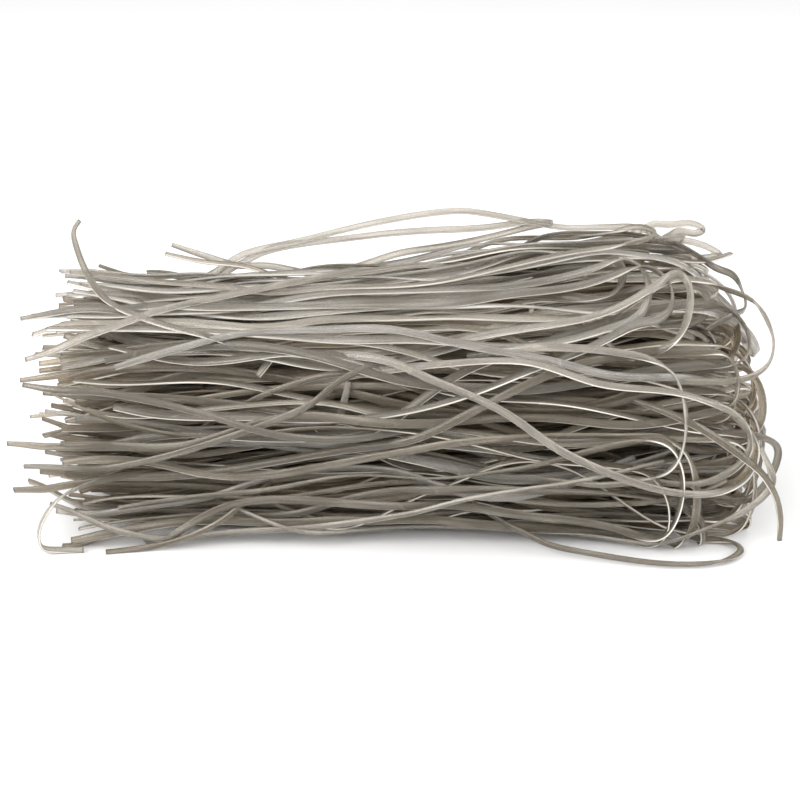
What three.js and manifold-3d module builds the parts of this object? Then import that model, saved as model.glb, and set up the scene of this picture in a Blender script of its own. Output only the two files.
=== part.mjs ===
// A loose bundle of dried sweet potato noodles: long flat ribbons, each folded once, laid side by side.
// Millimetres, +Z up. The cut ends stand out towards -X, the folds towards +X, and the front faces -Y.
// The bundle is one body: a smaller core with the noodles that show fused onto it, flat underneath.
import * as THREE from "three";
import { mergeVertices } from "three/addons/utils/BufferGeometryUtils.js";
import Module from "manifold-3d";

const wasm = await Module();
wasm.setup();

// Outline of the whole bundle: lower at the cut ends, swelling towards the folds.
const CUT_END_X = -149;
const FOLD_END_X = 157;
const HEIGHT_AT_CUTS = 94;
const HEIGHT_AT_FOLDS = 109;
const DEPTH_AT_CUTS = 112;
const DEPTH_AT_FOLDS = 122;
const SQUARENESS = 2.7;
const BASE_SQUARENESS = 3.6;
const FOLD_END_NARROWING = 0.15;
const FOLD_END_LEAN = 14;
const FLATTENED_BASE = 6;

// The core, and how far it keeps inside the outline.
const CORE_INSET = 1.5;
const CORE_INSET_AT_CUTS = 12;
const CORE_INSET_AT_FOLDS = 10;
const CORE_SIDES = 24;
const CORE_RINGS = 9;

// One noodle, and how many of each kind are shown.
const NOODLE_WIDTH = 3.6;
const NOODLE_THICKNESS = 1.4;
const FOLDED_NOODLES = 12;
const RUN_STEP = 36;
const AROUND_FROM = -34;
const AROUND_TO = 214;
const CUT_STUBS = 40;
const END_FOLDS = 20;
const LOOSE_RISE = 5;
const GOLDEN_ANGLE = Math.PI * (3 - Math.sqrt(5));

// Seeded draw, so that every build gives the same bundle.
let seed = 20417;
function draw(low, high) {
  seed = (seed + 0x6d2b79f5) | 0;
  let bits = Math.imul(seed ^ (seed >>> 15), 1 | seed);
  bits = (bits + Math.imul(bits ^ (bits >>> 7), 61 | bits)) ^ bits;
  const share = ((bits ^ (bits >>> 14)) >>> 0) / 4294967296;
  return low + share * (high - low);
}

const radians = THREE.MathUtils.degToRad;

// Height and depth of the outline at a place along the bundle.
function sectionAt(x) {
  const share = THREE.MathUtils.clamp((x - CUT_END_X) / (FOLD_END_X - CUT_END_X), 0, 1);
  const swell = THREE.MathUtils.smoothstep(share, 0.05, 0.75);
  const narrowing = 1 - FOLD_END_NARROWING * THREE.MathUtils.smoothstep(share, 0.82, 1.04);
  return {
    height: THREE.MathUtils.lerp(HEIGHT_AT_CUTS, HEIGHT_AT_FOLDS, swell) * narrowing,
    depth: THREE.MathUtils.lerp(DEPTH_AT_CUTS, DEPTH_AT_FOLDS, swell) * narrowing,
  };
}

// A point of the outline: around is 0 at the front, 90 on top, 180 at the back; lift is measured outwards.
function outline(x, around, lift) {
  const { height, depth } = sectionAt(x);
  const across = -Math.cos(radians(around));
  const up = Math.sin(radians(around));
  const power = up < 0 ? BASE_SQUARENESS : SQUARENESS;
  const reach = up < 0 ? height / 2 + FLATTENED_BASE : height / 2;
  const spread = Math.abs(across / (depth / 2)) ** power + Math.abs(up / reach) ** power;
  const radius = spread ** (-1 / power) + lift;
  return new THREE.Vector3(x, across * radius, Math.max(0, height / 2 + up * radius));
}

// Where the folds end: further out at the bottom than on top.
function foldEnd(around) {
  return FOLD_END_X + 3 - FOLD_END_LEAN * Math.max(0, Math.sin(radians(around)));
}

// A point inside the section: share runs from the middle, 0, to the skin of the core, 1.
function inside(x, around, share) {
  const middle = new THREE.Vector3(x, 0, sectionAt(x).height / 2);
  return middle.lerp(outline(x, around, -CORE_INSET), share);
}

// A closed body from a geometry, ready for joining.
function toBody(geometry) {
  geometry.deleteAttribute("normal");
  geometry.deleteAttribute("uv");
  const merged = mergeVertices(geometry, 1e-4);
  const corners = new Float32Array(merged.attributes.position.array);
  const triangles = new Uint32Array(merged.index.array);
  return new wasm.Manifold(new wasm.Mesh({ numProp: 3, vertProperties: corners, triVerts: triangles }));
}

// Steps along a noodle follow its control points, so a fold gets more of them than a straight run.
class NoodlePath extends THREE.CatmullRomCurve3 {
  constructor(points) {
    super(points, false, "centripetal");
  }
  getPointAt(share, target) {
    return this.getPoint(share, target);
  }
  getTangentAt(share, target) {
    return this.getTangent(share, target);
  }
}

// One flat noodle along a row of points; its thin side faces the given way at mid length.
function noodle(points, facing, width = NOODLE_WIDTH) {
  const path = new NoodlePath(points);
  const steps = points.length - 1;
  const frames = path.computeFrenetFrames(steps, false);
  const middle = Math.floor(steps / 2);
  const roll = Math.atan2(facing.dot(frames.binormals[middle]), facing.dot(frames.normals[middle]));
  const thin = new THREE.Vector2(Math.cos(roll), Math.sin(roll)).multiplyScalar(NOODLE_THICKNESS / 2);
  const wide = new THREE.Vector2(-Math.sin(roll), Math.cos(roll)).multiplyScalar(width / 2);
  const section = new THREE.Shape([
    thin.clone().add(wide),
    wide.clone().sub(thin),
    thin.clone().add(wide).negate(),
    thin.clone().sub(wide),
  ]);
  return toBody(new THREE.ExtrudeGeometry(section, { steps, extrudePath: path, bevelEnabled: false }));
}

// The way straight out of the bundle at a place on its outline.
function outwards(x, around) {
  return outline(x, around, 4).sub(outline(x, around, 0)).normalize();
}

// The core: a cylinder whose rings take the shape of the outline, kept inside it.
function core() {
  const geometry = new THREE.CylinderGeometry(1, 1, 1, CORE_SIDES, CORE_RINGS);
  const spots = geometry.attributes.position;
  for (let i = 0; i < spots.count; i += 1) {
    const share = spots.getY(i) + 0.5;
    const x = THREE.MathUtils.lerp(CUT_END_X + CORE_INSET_AT_CUTS, FOLD_END_X - CORE_INSET_AT_FOLDS, share);
    const radius = Math.hypot(spots.getX(i), spots.getZ(i));
    const around = THREE.MathUtils.radToDeg(Math.atan2(-spots.getX(i), spots.getZ(i)));
    const place = inside(x, around, radius);
    spots.setXYZ(i, place.x, place.y, place.z);
  }
  return toBody(geometry);
}

// The bend that joins two runs at the folded end, reaching out along +X.
function foldPoints(first, second, reach) {
  const middle = first.clone().lerp(second, 0.5);
  const half = first.clone().sub(middle);
  const points = [];
  for (let turn = 30; turn <= 150; turn += 30) {
    const bulge = 1 + 0.3 * Math.sin(radians(turn));
    const point = middle.clone().addScaledVector(half, Math.cos(radians(turn)) * bulge);
    point.x += reach * Math.sin(radians(turn));
    points.push(point);
  }
  return points;
}

// One run of a noodle over the core, from the cut end to where its fold begins; it dips in to hold on.
function runPoints(around, foldX) {
  const points = [];
  const startX = CUT_END_X - draw(-4, 9);
  const runs = Math.round((foldX - startX) / RUN_STEP);
  const firstDip = Math.floor(draw(1, 5));
  let drift = 0;
  for (let i = 0; i <= runs; i += 1) {
    const dips = i % 4 === firstDip % 4 && i > 0 && i < runs;
    const rise = dips ? -1.6 : draw(1.4, 3.6);
    points.push(outline(THREE.MathUtils.lerp(startX, foldX, i / runs), around + drift, rise - CORE_INSET));
    drift = 0.5 * drift + draw(-2.4, 2.4);
  }
  return points;
}

// Noodles that run the whole length over the core, out and back, spread evenly around it.
function foldedNoodles() {
  const bodies = [];
  const spacing = (AROUND_TO - AROUND_FROM) / FOLDED_NOODLES;
  for (let i = 0; i < FOLDED_NOODLES; i += 1) {
    const around = AROUND_FROM + (i + 0.5) * spacing;
    const half = spacing * draw(0.65, 0.85);
    const foldX = foldEnd(around) - draw(14, 30);
    const there = runPoints(around - half, foldX);
    const back = runPoints(around + half, foldX);
    const bend = foldPoints(there[there.length - 1], back[back.length - 1], draw(9, 17));
    bodies.push(noodle([...there, ...bend, ...back.reverse()], outwards(0, around)));
  }
  return bodies;
}

// Cut ends that stand out of the core at the -X end.
function cutStubs() {
  const bodies = [];
  for (let i = 0; i < CUT_STUBS; i += 1) {
    const around = THREE.MathUtils.radToDeg(i * GOLDEN_ANGLE);
    const share = Math.sqrt((i + 0.5) / CUT_STUBS) * 0.95;
    const points = [
      inside(CUT_END_X + CORE_INSET_AT_CUTS + 8, around, share * 0.97),
      inside(CUT_END_X + 4, around + draw(-3, 3), share),
      inside(CUT_END_X - draw(-4, 11), around + draw(-8, 8), share * draw(0.98, 1.03)),
    ];
    bodies.push(noodle(points, new THREE.Vector3(0, draw(-1, 1), draw(-1, 1)).normalize()));
  }
  return bodies;
}

// Folds that stand out of the core at the +X end.
function endFolds() {
  const bodies = [];
  for (let i = 0; i < END_FOLDS; i += 1) {
    const around = THREE.MathUtils.radToDeg(i * GOLDEN_ANGLE);
    const share = Math.sqrt((i + 0.5) / END_FOLDS) * 0.86;
    const slant = draw(0, Math.PI);
    const half = new THREE.Vector3(0, Math.cos(slant), Math.sin(slant)).multiplyScalar(draw(4, 8.5));
    const root = inside(FOLD_END_X - CORE_INSET_AT_FOLDS - 7, around, share * 0.95);
    const base = inside(FOLD_END_X - CORE_INSET_AT_FOLDS + 2, around, share);
    const first = base.clone().add(half);
    const second = base.clone().sub(half);
    const points = [
      root.clone().addScaledVector(half, 0.8),
      first,
      ...foldPoints(first, second, draw(7, 17)),
      second,
      root.clone().addScaledVector(half, -0.8),
    ];
    bodies.push(noodle(points, half.clone().normalize()));
  }
  return bodies;
}

// Noodles that have sprung loose: place along the bundle, place around it and lift above the others.
const LOOSE_NOODLES = {
  curlAtCutEnd: [
    [-70, 58, -12], [-95, 66, 1], [-112, 80, 3], [-126, 96, 4], [-137, 108, 8], [-146, 114, 13],
    [-149, 117, 18], [-147, 118, 23],
  ],
  longArch: [
    [-104, 121, -12], [-77, 121, 5], [-46, 120, 10], [-10, 119, 15], [25, 118, 17], [46, 118, 13],
    [67, 119, 8], [96, 120, -12],
  ],
  foldedArch: [
    [-92, 122, -12], [-65, 122, 6], [-18, 120, 9], [9, 120, 9], [37, 120, 8], [62, 119, 10], [70, 119, 9],
    [63, 120, 7], [37, 121, 3], [0, 122, 0], [-40, 123, -12],
  ],
  paleFold: [
    [84, 118, -12], [100, 120, 4], [115, 122, 8], [123, 122, 13], [132, 122, 17], [139, 122, 19],
    [140, 122, 17], [130, 122, 10], [113, 122, 5], [92, 122, -12],
  ],
  smallFold: [
    [84, 119, -12], [105, 118, 1], [121, 116, 2], [128, 116, 5], [136, 116, 8], [143, 116, 9],
    [147, 116, 9], [145, 116, 7], [139, 116, 3], [118, 118, -12],
  ],
  shortEnd: [[112, 116, -11], [133, 116, 1], [145, 116, 5], [152, 116, 9]],
  arcOverFolds: [
    [42, 122, -12], [65, 120, 3], [92, 119, 4], [115, 116, 1], [134, 110, 3], [145, 104, 4], [150, 94, 4],
    [151, 82, 3], [150, 70, 2], [145, 60, 0], [130, 50, -12],
  ],
  bigArc: [
    [86, 50, -11], [116, 64, 0], [136, 71, 3], [149, 67, 6], [156, 56, 7], [158, 45, 6], [153, 35, 3],
    [138, 28, 0], [106, 24, -12],
  ],
  brightFold: [
    [8, 40, -12], [50, 44, 0], [84, 49, 0], [106, 58, 0], [117, 66, 1], [122, 62, 2], [121, 51, 1],
    [115, 40, 0], [100, 33, -12],
  ],
  openLoop: [
    [28, 36, -12], [58, 36, 0], [83, 35, 0], [104, 32, 0], [115, 25, 1], [119, 10, 1], [115, -4, 1],
    [104, -11, 0], [84, -14, 0], [48, -16, -12],
  ],
  broadBand: [
    [-42, 28, -12], [8, 31, 0], [50, 31, 0], [84, 23, 0], [122, 20, 0], [143, 14, 1], [147, 0, 1],
    [130, -12, 0], [90, -16, -12],
  ],
  longCrossing: [
    [-44, 41, -12], [-8, 34, 0], [13, 26, 0], [42, 15, 0], [70, -1, 0], [102, -12, 0], [130, -16, 0],
    [147, -11, 2], [151, 4, 2], [140, 15, -11],
  ],
  lowBright: [
    [-152, -26, 0], [-117, -33, 0], [-89, -38, 0], [-44, -35, 0], [0, -27, 0], [30, -18, 0], [68, -12, 0],
    [112, -8, -12],
  ],
  bottomBow: [
    [-84, -28, -12], [-44, -35, 0], [0, -43, 0], [50, -45, 1], [98, -42, 0], [128, -32, 0], [148, -25, 1],
    [159, -12, 3], [152, 4, -3],
  ],
  hangingEnd: [
    [98, 16, -12], [123, 10, 0], [139, 3, 1], [152, -5, 3], [160, -15, 6], [163, -23, 12], [164, -28, 19],
    [164, -32, 26],
  ],
  leftDiagonal: [
    [-160, 42, 0], [-125, 51, 0], [-87, 68, 0], [-49, 84, 0], [-22, 93, 0], [4, 104, 0], [44, 116, -12],
  ],
  leftBend: [
    [-162, -10, 0], [-142, -8, 0], [-107, -1, 0], [-81, 6, 0], [-59, 12, 0], [-38, 19, 0], [-23, 28, 0],
    [6, 38, -12],
  ],
  leftMiddle: [
    [-158, 29, 1], [-144, 27, 0], [-123, 26, 0], [-102, 22, 0], [-81, 17, 0], [-50, 9, 0], [-20, 7, 0],
    [24, 10, -12],
  ],
  curlOnFloor: [
    [-104, -10, -12], [-128, -13, 0], [-146, -18, 3], [-155, -27, 7], [-155, -36, 10], [-148, -41, 13],
    [-138, -43, 15],
  ],
  endOnFloor: [[-56, -22, -12], [-80, -30, 1], [-100, -37, 6], [-116, -41, 12], [-128, -43, 17]],
  loopOnFloor: [
    [24, -30, -12], [60, -38, 3], [96, -43, 11], [128, -44, 16], [146, -44, 18], [156, -42, 14],
    [152, -36, 6], [124, -28, -12],
  ],
  leftEnd1: [[-90, 4, -12], [-140, 4, 1], [-168, 2, 2]],
  leftEnd2: [[-84, -12, -12], [-140, -14, 1], [-167, -20, 2]],
  leftEnd3: [[-84, 62, -12], [-138, 62, 1], [-162, 58, 2]],
};

// A loose noodle lies a little above the core; its hidden ends reach into it.
function looseNoodles() {
  const bodies = [];
  for (const places of Object.values(LOOSE_NOODLES)) {
    const points = places.map(([x, around, lift]) => outline(x, around, lift + LOOSE_RISE));
    for (const point of points) {
      point.z = Math.max(point.z, NOODLE_WIDTH / 2 + 0.2);
    }
    const [x, around] = places[Math.floor(places.length / 2)];
    bodies.push(noodle(points, outwards(x, around)));
  }
  return bodies;
}

// Joining leaves the one large body: sealed hollows are filled and loose scraps dropped.
function join(bodies) {
  const joined = wasm.Manifold.union(bodies);
  const pieces = joined.decompose();
  pieces.sort((a, b) => b.volume() - a.volume());
  return pieces[0];
}

function toGeometry(body) {
  const mesh = body.getMesh();
  const geometry = new THREE.BufferGeometry();
  geometry.setAttribute("position", new THREE.BufferAttribute(new Float32Array(mesh.vertProperties), 3));
  geometry.setIndex(new THREE.BufferAttribute(new Uint32Array(mesh.triVerts), 1));
  geometry.computeVertexNormals();
  return geometry;
}

const dried = new THREE.MeshStandardMaterial({ color: 0x98948a, roughness: 0.38, metalness: 0 });
const bodies = [core(), ...foldedNoodles(), ...cutStubs(), ...endFolds(), ...looseNoodles()];
const bundle = new THREE.Mesh(toGeometry(join(bodies)), dried);
bundle.name = "noodle_bundle";

const part = new THREE.Group();
part.name = "dried_noodle_bundle";
part.add(bundle);

export default part;
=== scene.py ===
"""A loose bundle of dried sweet potato noodles, folded at one end and cut at the other."""

import math

import bpy
import numpy as np
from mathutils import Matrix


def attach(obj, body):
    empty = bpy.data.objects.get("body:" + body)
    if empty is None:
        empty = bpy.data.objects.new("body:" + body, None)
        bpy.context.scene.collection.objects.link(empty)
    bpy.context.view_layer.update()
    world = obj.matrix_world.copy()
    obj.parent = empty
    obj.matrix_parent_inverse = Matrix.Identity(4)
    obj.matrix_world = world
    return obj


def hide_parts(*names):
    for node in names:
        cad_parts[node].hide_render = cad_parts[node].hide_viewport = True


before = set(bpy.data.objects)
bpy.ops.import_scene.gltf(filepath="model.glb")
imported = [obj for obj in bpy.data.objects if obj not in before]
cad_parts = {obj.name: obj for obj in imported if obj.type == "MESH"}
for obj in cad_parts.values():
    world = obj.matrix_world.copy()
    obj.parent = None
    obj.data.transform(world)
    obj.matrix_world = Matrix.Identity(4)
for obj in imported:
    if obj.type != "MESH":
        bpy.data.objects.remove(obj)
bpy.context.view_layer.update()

# Sizes are in millimetres and degrees until the meshes are made. A pair is the two ends of a range.
MM = 0.001
TINY = 1e-9
SEED = 20417
rng = np.random.default_rng(SEED)

# Outline of the whole bundle: lower at the cut ends, swelling towards the folds.
CUT_END_X = -149.0
FOLD_END_X = 157.0
HEIGHT_AT_CUTS = 94.0
HEIGHT_AT_FOLDS = 109.0
DEPTH_AT_CUTS = 112.0
DEPTH_AT_FOLDS = 122.0
SQUARENESS = 2.7
BASE_SQUARENESS = 3.6
FLATTENED_BASE = 6.0
FOLD_END_NARROWING = 0.15
FOLD_END_LEAN = 14.0
FOLD_OVERHANG = 3.0
# Shares of the length over which the bundle swells, and over which it narrows again.
SWELL_SPAN = (0.05, 0.75)
NARROWING_SPAN = (0.82, 1.04)


def smoothstep(value, low, high):
    share = np.clip((value - low) / (high - low), 0.0, 1.0)
    return share * share * (3.0 - 2.0 * share)


def section_at(x):
    """Height and depth of the outline at a place along the bundle."""
    share = np.clip((x - CUT_END_X) / (FOLD_END_X - CUT_END_X), 0.0, 1.0)
    swell = smoothstep(share, *SWELL_SPAN)
    narrowing = 1.0 - FOLD_END_NARROWING * smoothstep(share, *NARROWING_SPAN)
    height = HEIGHT_AT_CUTS + (HEIGHT_AT_FOLDS - HEIGHT_AT_CUTS) * swell
    depth = DEPTH_AT_CUTS + (DEPTH_AT_FOLDS - DEPTH_AT_CUTS) * swell
    return height * narrowing, depth * narrowing


def outline(x, around, lift):
    """Points of the outline: around is 0 at the front, 90 on top, 180 at the back; lift is outwards."""
    height, depth = section_at(x)
    across = -np.cos(np.radians(around))
    up = np.sin(np.radians(around))
    power = np.where(up < 0.0, BASE_SQUARENESS, SQUARENESS)
    reach = np.where(up < 0.0, height / 2 + FLATTENED_BASE, height / 2)
    spread = np.abs(across / (depth / 2)) ** power + np.abs(up / reach) ** power
    radius = spread ** (-1.0 / power) + lift
    return np.stack([x, across * radius, height / 2 + up * radius], axis=-1)


def fold_end(around):
    """Where the folds end: further out at the bottom than on top."""
    return FOLD_END_X + FOLD_OVERHANG - FOLD_END_LEAN * max(0.0, math.sin(math.radians(around)))


# One noodle: its usual size, and the sizes of others as shares of it.
NOODLE_WIDTH = 3.2
NOODLE_THICKNESS = 1.1
WIDTH_RANGE = (0.65, 1.4)
THICKNESS_RANGE = (0.85, 1.2)
# Steps along paths, and the spacing of the rings of a mesh.
PATH_STEP = 2.0
SPAN_STEPS = 20
FOLD_STEPS = 40
FEWEST_POINTS = 4
RING_STEP = 4.2
PLAIN_RING_STEP = 7.0
BEND_DETAIL = 25.0

# The pile: lift of its surface against the outline, on a grid of places along and around the bundle.
PILE_X = -190.0
PILE_STEP = 1.5
PILE_ROWS = 254
PILE_COLUMNS = 240
CORE_LIFT = -26.0
CORE_DROP_AT_FOLDS = 11.0
CORE_DROP_SPAN = (60.0, 150.0)
# Shares of its half width at which a noodle rests on the pile, and at which it raises the pile.
RESTING_SHARES = (-0.9, -0.45, 0.0, 0.45, 0.9)
RAISING_SHARES = (-1.0, -0.5, 0.0, 0.5, 1.0)
BRIDGE_WINDOW = 15
pile_x = PILE_X + PILE_STEP * np.arange(PILE_ROWS)
pile_bottom = CORE_LIFT - CORE_DROP_AT_FOLDS * smoothstep(pile_x, *CORE_DROP_SPAN)
pile = np.tile(pile_bottom, (PILE_COLUMNS, 1)).T.copy()


def pile_cells(x, around):
    rows = np.clip(np.rint((x - PILE_X) / PILE_STEP).astype(int), 0, PILE_ROWS - 1)
    columns = np.rint(around / 360.0 * PILE_COLUMNS).astype(int) % PILE_COLUMNS
    return rows, columns


def cells_beside(x, around, reach):
    """Cells at a distance sideways of a path; a millimetre is more degrees deep down in the pile."""
    ahead_x = np.gradient(x)
    ahead_around = np.gradient(around)
    length = np.hypot(ahead_x, ahead_around) + TINY
    radius = HEIGHT_AT_FOLDS / 2 + pile[pile_cells(x, around)]
    degrees = np.degrees(1.0 / radius)
    return pile_cells(x - ahead_around / length * reach, around + ahead_x / length * reach * degrees)


def ground_under(x, around, half_width):
    ground = np.full(len(x), -np.inf)
    for share in RESTING_SHARES:
        ground = np.maximum(ground, pile[cells_beside(x, around, half_width * share)])
    return ground


def raise_pile(x, around, half_width, top):
    """Raises the pile to the top of a noodle; all its cells are found before any of them is raised."""
    strips = [cells_beside(x, around, half_width * share) for share in RAISING_SHARES]
    for cells in strips:
        np.maximum.at(pile, cells, top)


def bridge(ground, stiffness):
    """The lowest smooth run over uneven ground: a stiff noodle spans the dips below it."""
    window = np.hanning(BRIDGE_WINDOW)[1:-1]
    window /= window.sum()
    reach = len(window) // 2
    lift = ground.copy()
    for _ in range(stiffness):
        padded = np.pad(lift, reach, mode="edge")
        lift = np.maximum(np.convolve(padded, window, mode="valid"), ground)
    return np.convolve(np.pad(lift, reach, mode="edge"), window, mode="valid")


def soften(values, passes):
    """Rounds the corners of a path without moving its ends."""
    values = values.copy()
    for _ in range(passes):
        values[1:-1] = 0.25 * values[:-2] + 0.5 * values[1:-1] + 0.25 * values[2:]
    return values


def soften_columns(rows, passes):
    return np.stack([soften(column, passes) for column in rows.T], axis=1)


def even_path(rows):
    """Resamples the columns of a path at even steps of length; a degree counts as a millimetre."""
    rows = np.asarray(rows, dtype=float)
    length = np.concatenate([[0.0], np.cumsum(np.linalg.norm(np.diff(rows, axis=0), axis=1))])
    places = np.linspace(0.0, length[-1], max(FEWEST_POINTS, int(length[-1] / PATH_STEP) + 1))
    return np.stack([np.interp(places, length, column) for column in rows.T], axis=1)


def through(places):
    """A smooth path through a few places, each a row of numbers."""
    rows = np.asarray(places, dtype=float)
    rows = np.concatenate([[2 * rows[0] - rows[1]], rows, [2 * rows[-1] - rows[-2]]])
    share = np.linspace(0, 1, SPAN_STEPS, endpoint=False)[:, None]
    spans = []
    for before, start, end, after in zip(rows[:-3], rows[1:-2], rows[2:-1], rows[3:]):
        leave = (end - before) / 2
        arrive = (after - start) / 2
        spans.append(
            start
            + share * leave
            + share**2 * (3 * (end - start) - 2 * leave - arrive)
            + share**3 * (2 * (start - end) + leave + arrive)
        )
    return even_path(np.concatenate(spans + [rows[-2:-1]]))


# Shifts that whole neighbourhoods of noodles share: wave length, turns around, size in degrees.
SHARED_WAVES = ((320.0, 2, 4.0), (190.0, 3, 2.6), (125.0, 5, 1.3))
# Shifts that each noodle has of its own: wave length and size in degrees.
OWN_WAVES = ((330.0, 6.5), (180.0, 3.4), (105.0, 1.3), (62.0, 0.4))
shared_phase = rng.random(len(SHARED_WAVES))


def shared_shift(x, around):
    total = np.zeros(len(x))
    for (length, turns, size), phase in zip(SHARED_WAVES, shared_phase):
        total += size * np.sin(2 * math.pi * (x / length + phase) + turns * math.radians(around))
    return total


def own_shift(x):
    total = np.zeros(len(x))
    for length, size in OWN_WAVES:
        total += size * rng.normal() * np.sin(2 * math.pi * (x / length + rng.random()))
    return total


def either_side(size_range):
    """A random size of either sign."""
    return rng.choice([-1, 1]) * rng.uniform(*size_range)


class Noodle:
    """One noodle. Shift is how far it lies beside its points, facing where its first ring faces."""

    def __init__(self, points, roll, size, ring_step=RING_STEP, shift=0.0, facing=None):
        self.points = points
        self.roll = roll
        self.width, self.thickness = size
        self.ring_step = ring_step
        self.shift = shift
        self.facing = facing
        self.tone = rng.random()


# Roll: how a noodle turns about its own length. Most lie nearly flat, and sway slowly and quickly.
ANY_ROLL = (-90, 90)
ANY_ROLL_SHARE = 0.3
FLAT_ROLL_SPREAD = 16
SLOW_ROLL = (5, 34)
SLOW_ROLL_LENGTH = (180, 420)
QUICK_ROLL = (0, 14)
QUICK_ROLL_LENGTH = (80, 150)
# A ribbon stands on edge where it turns back: the bending, in radians per millimetre, where it begins
# to and where it does so fully, and its roll there.
GENTLE_BEND = 0.012
HARD_BEND = 0.05
BEND_SOFTENING = 12
ON_EDGE_ROLL = (62, 90)


def random_size():
    return NOODLE_WIDTH * rng.uniform(*WIDTH_RANGE), NOODLE_THICKNESS * rng.uniform(*THICKNESS_RANGE)


def roll_wave(run, sizes, lengths):
    return rng.uniform(*sizes) * np.sin(2 * math.pi * (run / rng.uniform(*lengths) + rng.random()))


def random_roll(count):
    """Roll along the path of a noodle."""
    run = np.arange(count) * PATH_STEP
    start = rng.uniform(*ANY_ROLL) if rng.random() < ANY_ROLL_SHARE else rng.normal(0, FLAT_ROLL_SPREAD)
    slow = roll_wave(run, SLOW_ROLL, SLOW_ROLL_LENGTH)
    quick = roll_wave(run, QUICK_ROLL, QUICK_ROLL_LENGTH)
    return start + slow + quick


def hard_bends(route):
    """Share, along a route, to which the noodle turns back on itself."""
    heading = np.unwrap(np.arctan2(np.gradient(route[:, 1]), np.gradient(route[:, 0])))
    bending = np.abs(np.gradient(heading)) / PATH_STEP
    return soften(smoothstep(bending, GENTLE_BEND, HARD_BEND), BEND_SOFTENING)


def route_roll(route, calm=1.0):
    """Roll along a route: a ribbon stands on edge where it turns back, so that it bends flat."""
    hard = hard_bends(route)
    on_edge = either_side(ON_EDGE_ROLL)
    return random_roll(len(route)) * calm * (1 - hard) + on_edge * hard


def turned_half_sizes(roll, size):
    """Half extent sideways and outwards of a ribbon that has turned by roll."""
    width, thickness = size
    along = np.abs(np.cos(np.radians(roll)))
    across = np.abs(np.sin(np.radians(roll)))
    return along * width / 2 + across * thickness / 2, along * thickness / 2 + across * width / 2


def lay(route, roll, size, stiffness, rise=0.0):
    """Lays a noodle on the pile along a route, higher by rise, and raises the pile; gives its lift."""
    x, around = route[:, 0], route[:, 1]
    half_side, half_out = turned_half_sizes(roll, size)
    lift = bridge(ground_under(x, around, half_side) + half_out, stiffness) + rise
    raise_pile(x, around, half_side, lift + half_out)
    return lift


# Runs of noodle: where they begin at the cut ends, a few of them far out or far in, and their slope.
CUT_INSET = 6
CUT_SPREAD = 6
LONG_END_SHARE = 0.12
LONG_END = (4, 15)
SHORT_END_SHARE = 0.16
SHORT_END = (8, 40)
FARTHEST_END = 20.0
RUN_SLOPE = 12.0
ROUTE_SOFTENING = 10
# Cut ends are loose over a length: they spread, and gather in clumps around the bundle.
LOOSE_END = 45.0
LOOSE_END_SPREAD = 4.0
CLUMPS = 11
CLUMP_PULL = 6.0
# Folds on the outline: gap between the two runs, reach as a share of it, and how far in they end.
FOLD_GAP = (9, 50)
FOLD_REACH_SHARE = (0.38, 0.62)
SHORTEST_FOLD = 5.0
LONGEST_FOLD = 24.0
FOLD_BULGE = 0.22
FOLD_INSET_SPREAD = 11
FOLD_JITTER = (-2, 5)
# Folds over the end: where they begin, their bend, and the run that goes back inside.
OVER_END_INSET = (8, 30)
OVER_END_RADIUS = (5, 15)
OVER_END_REACH_SHARE = (0.9, 1.4)
OVER_END_STEPS = 24
INSIDE_STEPS = 20
INSIDE_LENGTH = 46
INSIDE_DROP = 5
INSIDE_SWERVE = 6


def loose_share(from_end):
    """How loose a noodle is at a distance from its end."""
    return np.clip(1 - from_end / LOOSE_END, 0, 1) ** 2


def loose_end_rise(count, size):
    """Extra lift at the cut ends of a noodle."""
    loose = loose_share(np.arange(count) * PATH_STEP)
    return abs(rng.normal(0, size)) * loose + abs(rng.normal(0, size)) * loose[::-1]


def run_route(around, fold_x, slope):
    """One run along the outline, from a cut end to where its fold begins."""
    start_x = CUT_END_X + rng.normal(CUT_INSET, CUT_SPREAD)
    if rng.random() < LONG_END_SHARE:
        start_x -= rng.uniform(*LONG_END)
    elif rng.random() < SHORT_END_SHARE:
        start_x += rng.uniform(*SHORT_END)
    start_x = max(start_x, CUT_END_X - FARTHEST_END)
    x = np.arange(start_x, fold_x, PATH_STEP)
    sloped = slope * (x - fold_x) / (fold_x - start_x)
    places = around + shared_shift(x, around) + own_shift(x) + sloped
    pull = -CLUMP_PULL * math.sin(math.radians(CLUMPS * places[0]))
    swing = pull + rng.normal(0, LOOSE_END_SPREAD)
    return np.stack([x, places + swing * loose_share(x - start_x)], axis=1)


def fold_swing(turn, bulge):
    """Place between the two runs of a fold, from 1 to -1, with the fold wider than the gap."""
    return np.cos(turn) * (1 + bulge * np.sin(turn))


def surface_fold(first, second, reach):
    """The bend on the outline that joins two runs, in places along and around."""
    turn = np.linspace(0, math.pi, FOLD_STEPS)[1:-1]
    middle = (first + second) / 2
    half = (first - second) / 2
    swing = fold_swing(turn, FOLD_BULGE)
    x = middle[0] + half[0] * swing + reach * np.sin(turn)
    return np.stack([x, middle[1] + half[1] * swing], axis=1)


def joined_runs(around, gap, fold_x, reach, slope):
    """Two runs and the fold between them."""
    there = run_route(around, fold_x, rng.normal(0, slope))
    back = run_route(around + gap, fold_x, rng.normal(0, slope))
    bend = surface_fold(there[-1], back[-1], reach)
    return soften_columns(even_path(np.concatenate([there, bend, back[::-1]])), ROUTE_SOFTENING)


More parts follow.
